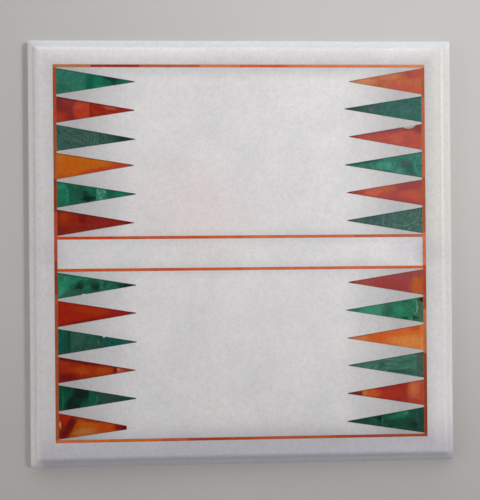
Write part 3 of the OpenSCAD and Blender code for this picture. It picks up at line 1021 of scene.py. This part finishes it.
def stones_in_turn(place, lie, stone, seed):
    """The stones of a point, which change at its seams."""
    stray = STRAY + MOTTLED_STRAY * stone.pattern.mottle
    ragged = use(RAGGED, {"Vector": place, "Reach": stray, "Seed": seed})["Vector"]
    along, across, _ = split(place)
    colour = stone_colour(place, ragged, stone.kind, stone.body, stone.pattern, stone.marks, seed)
    for count, part in enumerate(stone.seams, start=1):
        seam = across * (part.slant / (2 * lie.half_at(part.share))) + part.share * lie.length
        pattern = stone.pattern._replace(**part.changes)
        after = stone_colour(
            place, ragged, stone.kind, part.body, pattern, part.marks, seed + NEXT_STONE_SEED * count
        )
        colour = overlay(along > seam, colour, after)
    return colour


def point_material(node, stone, seed):
    """The stones of one point."""
    material, tree = new_material(f"{stone.kind}_{node}")
    lie = placement(node)
    place = along_and_across(tree, lie.start, lie.heading, lie.flip)
    colour = rim_shade(stones_in_turn(place, lie, stone, seed), place, lie, stone.rim)
    finish_stone(colour, place, seed)
    return material


# The tones of each line's strips, from its left or far end
LINES = {
    "border_top": "ochre crimson copper tan orange tan tan tan",
    "border_bottom": "honey honey rust brick sienna rust rust brick brick brick",
    "border_left": "brick russet umber sienna umber russet russet russet",
    "border_right": "russet copper copper russet salmon brick ochre umber umber",
    "bar_line_upper": "scarlet flame flame orange salmon salmon rose rose",
    "bar_line_lower": "flame orange flame orange salmon salmon salmon orange",
}


def strip_ends(node, axis):
    """Where the strips of a line meet, as shares of its length."""
    places = sorted(v.co[axis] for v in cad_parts[node].data.vertices)
    first, last = places[0], places[-1]
    narrowest, widest = JOINT_LIMITS
    joints = [(a + b) / 2 for a, b in zip(places, places[1:]) if narrowest < b - a < widest]
    return [(joint - first) / (last - first) for joint in joints]


LINE_PATTERN = Pattern(swell=12, wander=0, band=0, lean=20, contrast=0.25, mottle=0, light="")


def line_material(node, tones, seed):
    """One line of strips, each of its own tone."""
    material, tree = new_material(f"carnelian_{node}")
    low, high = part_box(node)
    upright = high.y - low.y > high.x - low.x
    start = (low.x, high.y if upright else low.y, high.z)
    length = (high.y - low.y if upright else high.x - low.x) / MM
    place = along_and_across(tree, start, -math.pi / 2 if upright else 0.0, 1)
    ends = strip_ends(node, 1 if upright else 0)
    if upright:
        ends = [1 - share for share in reversed(ends)]
    along = split(place)[0]
    colour = LINE_TONES[tones[0]]
    for share, name in zip(ends, tones[1:]):
        colour = overlay(along > share * length, colour, LINE_TONES[name])
    colour = carnelian_pattern(colour, place, seed, LINE_PATTERN)
    finish_stone(colour, place, seed)
    return material


def floor_material():
    """A plain pale floor with a faint mottle."""
    material, tree = new_material("pale_floor")
    mottle = noise(object_place(tree), 0.12, seed=1.0)
    colour = overlay(mottle, tone("#c3c1bd"), tone("#cbc9c6"))
    rough = remap(mottle, 0.3, 0.7, 0.55, 0.65, "LINEAR")
    shader = put(tree, "ShaderNodeBsdfPrincipled", {"Base Color": colour, "Roughness": rough})
    put(tree, "ShaderNodeOutputMaterial", {"Surface": shader[0]})
    return material


# The slab

def arc_points(centre, radius, start, stop, steps):
    """Points on an arc, with its angles in degrees."""
    angles = [math.radians(start + (stop - start) * k / steps) for k in range(steps + 1)]
    return [(centre[0] + radius * math.cos(a), centre[1] + radius * math.sin(a)) for a in angles]


def bend(start, corner, stop, steps=4):
    """Points on a curve that leaves start towards the corner and comes to stop from it."""
    start, corner, stop = Vector(start), Vector(corner), Vector(stop)
    shares = [k / steps for k in range(steps + 1)]
    return [tuple((1 - t) ** 2 * start + 2 * t * (1 - t) * corner + t * t * stop) for t in shares]


def eased(before, corner, after):
    """A corner between two straight runs, eased by wear."""
    before, corner, after = Vector(before), Vector(corner), Vector(after)
    start = corner + (before - corner).normalized() * EASED_ARRIS
    stop = corner + (after - corner).normalized() * EASED_ARRIS
    return bend(start, corner, stop)


def moulding_profile():
    """The moulded edge as (inset from the side, height), from the underside up to the playing face."""
    foot_top = LEDGE_HEIGHT - NOSE_RADIUS
    toe = (FOOT_BEVEL, 0.0)
    heel = (0.0, FOOT_BEVEL)
    into_quirk, out_of_quirk = QUIRK_ANGLES
    nose = arc_points((NOSE_RADIUS, foot_top), NOSE_RADIUS, 180, 90 + into_quirk, NOSE_STEPS)
    ovolo = arc_points(
        (MOULDING_WIDTH, LEDGE_HEIGHT), OVOLO_RADIUS, 180 - out_of_quirk, 90, OVOLO_STEPS
    )
    quirk = bend(nose[-1], (NOSE_RADIUS + LEDGE_WIDTH, LEDGE_HEIGHT), ovolo[0], QUIRK_STEPS)
    return [
        (MOULDING_WIDTH, 0.0),
        *eased((MOULDING_WIDTH, 0.0), toe, heel),
        *eased(toe, heel, (0.0, foot_top)),
        (0.0, (FOOT_BEVEL + foot_top) / 2),
        *nose,
        *quirk[1:-1],
        *ovolo,
    ]


def set_inputs(modifier, values):
    """Gives a Geometry Nodes modifier its inputs by their names."""
    for item in modifier.node_group.interface.items_tree:
        if item.item_type == "SOCKET" and item.in_out == "INPUT" and item.name in values:
            modifier[item.identifier] = values[item.name]


def rim_tree():
    """Sweeps a profile round a square, with rounded mitres, and rubs it unevenly."""
    tree = bpy.data.node_groups.new("moulded_rim", "GeometryNodeTree")
    sockets = {
        "Profile": "NodeSocketGeometry", "Side": VALUE, "Corner Radius": VALUE, "Width": VALUE,
        "Sections per Side": "NodeSocketInt", "Crowding": VALUE, "Wave": VALUE, "Nick Depth": VALUE,
        "Seed": VALUE, "Material": "NodeSocketMaterial",
    }
    for label, kind in sockets.items():
        tree.interface.new_socket(name=label, in_out="INPUT", socket_type=kind)
    tree.interface.new_socket(name="Rim", in_out="OUTPUT", socket_type="NodeSocketGeometry")
    given = put(tree, "NodeGroupInput")
    sections = given["Sections per Side"]
    half_side = given["Side"] * 0.5

    # A grid with a row for each point of the profile and a column for each section round the slab
    rows = put(tree, "GeometryNodeAttributeDomainSize", {0: given["Profile"]})["Point Count"]
    grid = put(tree, "GeometryNodeMeshGrid", {
        "Size X": 1.0, "Size Y": 1.0, "Vertices X": sections * 4.0 + 1.0, "Vertices Y": rows,
    })["Mesh"]
    index = put(tree, "GeometryNodeInputIndex")[0]
    column = calc("FLOOR", index / rows)
    position = put(tree, "GeometryNodeInputPosition")[0]
    sampled = put(
        tree, "GeometryNodeSampleIndex",
        {"Geometry": given["Profile"], "Value": position, "Index": calc("MODULO", index, rows)},
        data_type="FLOAT_VECTOR",
    )["Value"]
    inset, _, height = split(sampled)

    # How far along its side a section lies, from -1 to 1, with the sections crowded at the corners
    side = calc("FLOOR", column / sections)
    even = calc("MODULO", column, sections) / sections * 2.0 - 1.0
    crowded = 1.0 - calc("POWER", 1.0 - abs(even), given["Crowding"])
    along = calc("SIGN", even) * crowded

    # The place on a square whose corners are rounded less and less up the moulding
    half = half_side - inset
    radius = given["Corner Radius"] * calc("MAXIMUM", 1.0 - inset / given["Width"], 0.0)
    straight = half - radius
    y = along * half
    y_inside = calc("MAXIMUM", calc("MINIMUM", y, straight), straight * -1.0)
    inside = combined(X=straight, Y=y_inside)
    outward = vector_calc("NORMALIZE", vector_calc("SUBTRACT", combined(X=half, Y=y), inside))
    rounded = vector_calc("ADD", inside, vector_calc("SCALE", outward, Scale=radius))
    on_its_side = turned(rounded, side * (math.pi / 2))
    lifted = vector_calc("ADD", on_its_side, combined(Z=height))
    swept = put(tree, "GeometryNodeSetPosition", {"Geometry": grid, "Position": lifted})[0]
    closed = put(tree, "GeometryNodeMergeByDistance", {"Geometry": swept, "Distance": MERGED_WITHIN})[0]

    # Rubbed hollows and nicks, always inward, and none where the rim meets the flat faces
    px, py, pz = split(position)
    from_side = half_side - calc("MAXIMUM", abs(px), abs(py))
    off_face = remap(from_side, MOULDING_WIDTH, MOULDING_WIDTH - UNWORN)
    exposed = off_face * remap(pz, 0.1 * MM, UNWORN)
    wave = noise(position, WAVE_SIZE, given["Seed"], detail=2.0) * given["Wave"]
    spots = noise(position, NICK_SIZE, given["Seed"], detail=2.0)
    depth = (remap(spots, *NICK_LIMITS) * given["Nick Depth"] + wave) * (exposed * -1.0)
    inward = vector_calc("SCALE", put(tree, "GeometryNodeInputNormal")[0], Scale=depth)
    rubbed = put(tree, "GeometryNodeSetPosition", {"Geometry": closed, "Offset": inward})[0]
    whole = put(tree, "GeometryNodeRealizeInstances", {0: rubbed})[0]
    painted = put(tree, "GeometryNodeSetMaterial", {"Geometry": whole, "Material": given["Material"]})[0]
    put(tree, "NodeGroupOutput", {"Rim": painted})
    return tree


def placed(name, data):
    """A new object in the scene."""
    made = bpy.data.objects.new(name, data)
    bpy.context.scene.collection.objects.link(made)
    return made


def moulded_rim(material):
    """The moulding round the slab, as a plain mesh."""
    profile = bpy.data.meshes.new("moulding_profile")
    profile.from_pydata([(inset, 0.0, height) for inset, height in moulding_profile()], [], [])
    rim = placed("moulded_rim", profile)
    sweep = rim.modifiers.new("sweep", "NODES")
    sweep.node_group = rim_tree()
    set_inputs(sweep, {
        "Side": SLAB_SIDE, "Corner Radius": CORNER_RADIUS, "Width": MOULDING_WIDTH,
        "Sections per Side": SECTIONS_PER_SIDE, "Crowding": SECTION_CROWDING, "Wave": RUBBED_WAVE,
        "Nick Depth": NICK_DEPTH, "Seed": float(WEAR_SEED), "Material": material,
    })
    seen = rim.evaluated_get(bpy.context.evaluated_depsgraph_get())
    mesh = bpy.data.meshes.new_from_object(seen)
    bpy.data.objects.remove(rim)
    return mesh


def from_middle(vertex):
    """How far a corner lies from the middle of the slab, toward the side that it is nearest to."""
    return max(abs(vertex.co.x), abs(vertex.co.y))


def face_with_pockets(shape):
    """Adds the slab's flat face and its pockets from the frame, and returns the face's four edges."""
    shape.from_mesh(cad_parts["marble_slab"].data)
    bmesh.ops.remove_doubles(shape, verts=shape.verts, dist=MERGED_WITHIN)
    outer = [f for f in shape.faces if any(from_middle(v) > FLAT_HALF + SAME_PLACE for v in f.verts)]
    bmesh.ops.delete(shape, geom=outer, context="FACES")
    return [e for e in shape.edges if e.is_boundary]


def split_to_match(shape, edges, places):
    """Splits each edge of the flat face where a section of the rim meets it."""
    for edge in edges:
        start, stop = edge.verts
        run = stop.co - start.co
        on_edge = [p - start.co for p in places if (p - start.co).cross(run).length < ON_EDGE * run.length]
        shares = [p.dot(run) / run.length_squared for p in on_edge]
        done, keep = 0.0, edge
        for share in sorted(s for s in shares if END_SHARE < s < 1 - END_SHARE):
            _, added = bmesh.utils.edge_split(keep, start, (share - done) / (1 - done))
            keep = next(e for e in added.link_edges if stop in e.verts)
            start, done = added, share


def marble_slab(material):
    """The whole slab: the flat face with its pockets, the moulded rim and a plain underside."""
    rim = moulded_rim(material)
    inner = [v.co for v in rim.vertices if from_middle(v) < FLAT_HALF + SAME_PLACE]
    top_ring = [p for p in inner if p.z > SLAB_TOP / 2]
    shape = bmesh.new()
    split_to_match(shape, face_with_pockets(shape), top_ring)
    bmesh.ops.triangulate(shape, faces=[f for f in shape.faces if len(f.verts) > 4])
    flat_faces = len(shape.faces)
    shape.from_mesh(rim)
    shape.faces.ensure_lookup_table()
    for face in shape.faces[flat_faces:]:
        face.smooth = True
    bmesh.ops.remove_doubles(shape, verts=shape.verts, dist=JOINED_WITHIN)
    bmesh.ops.contextual_create(shape, geom=[e for e in shape.edges if e.is_boundary])
    bmesh.ops.recalc_face_normals(shape, faces=shape.faces)
    mesh = bpy.data.meshes.new("dressed_slab")
    shape.to_mesh(mesh)
    shape.free()
    mesh.materials.clear()
    mesh.materials.append(material)
    return placed("dressed_slab", mesh)


# Dressing the frame

def dress(node, material):
    """Gives a node of the frame its finish."""
    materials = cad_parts[node].data.materials
    materials.clear()
    materials.append(material)


slab = marble_slab(marble_material())
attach(slab, "root")
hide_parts("marble_slab")

dress("setting_cement", cement_material())
for seed, (node, stone) in enumerate(POINTS.items()):
    dress(node, point_material(node, stone, float(seed)))
for seed, (node, tones) in enumerate(LINES.items()):
    dress(node, line_material(node, tones.split(), LINES_SEED + seed))


# Floor, light and camera

def floor():
    """The plain surface that the board lies on."""
    mesh = bpy.data.meshes.new("floor")
    corners = [(x * FLOOR_HALF, y * FLOOR_HALF, 0) for x, y in ((-1, -1), (1, -1), (1, 1), (-1, 1))]
    mesh.from_pydata(corners, [], [(0, 1, 2, 3)])
    mesh.materials.append(floor_material())
    made = placed("floor", mesh)


def lamp():
    """The soft lamp."""
    light = bpy.data.lights.new("soft_lamp", "AREA")
    light.size = LAMP_SIZE
    light.spread = LAMP_SPREAD
    light.energy = LAMP_WATTS
    made = placed("soft_lamp", light)
    made.location = LAMP_PLACE
    made.rotation_euler = (LAMP_AIM - LAMP_PLACE).to_track_quat("-Z", "Y").to_euler()
    made.visible_camera = False


def sky():
    """The light from all round: a little stronger from the far left, and dark overhead."""
    world = bpy.data.worlds.new("soft_sky")
    world.use_nodes = True
    tree = world.node_tree
    tree.nodes.clear()
    toward = put(tree, "ShaderNodeTexCoord")["Generated"]
    side = vector_calc("DOT_PRODUCT", toward, SKY_LEAN) * SKY_STRENGTH + SKY_STRENGTH
    dark, pale = [math.cos(a) for a in OVERHEAD_ANGLES]
    overhead = remap(split(toward)[2], pale, dark)
    mixed = {0: overhead, 2: side, 3: OVERHEAD_STRENGTH}
    strength = put(tree, "ShaderNodeMix", mixed, data_type="FLOAT")[0]
    glow = put(tree, "ShaderNodeBackground", {"Color": (1.0, 1.0, 1.0, 1.0), "Strength": strength})
    put(tree, "ShaderNodeOutputWorld", {"Surface": glow[0]})
    bpy.context.scene.world = world


def camera():
    """The photograph's view, from above the middle of the board."""
    seen = bpy.data.cameras.new("camera")
    seen.sensor_width = SENSOR
    seen.lens = FOCAL_PIXELS * SENSOR / PHOTO_LONG_SIDE
    made = placed("camera", seen)
    made.location = CAMERA_PLACE
    made.rotation_euler = CAMERA_TILT
    bpy.context.scene.camera = made


floor()
lamp()
sky()
camera()
bpy.context.scene.view_settings.view_transform = "Standard"
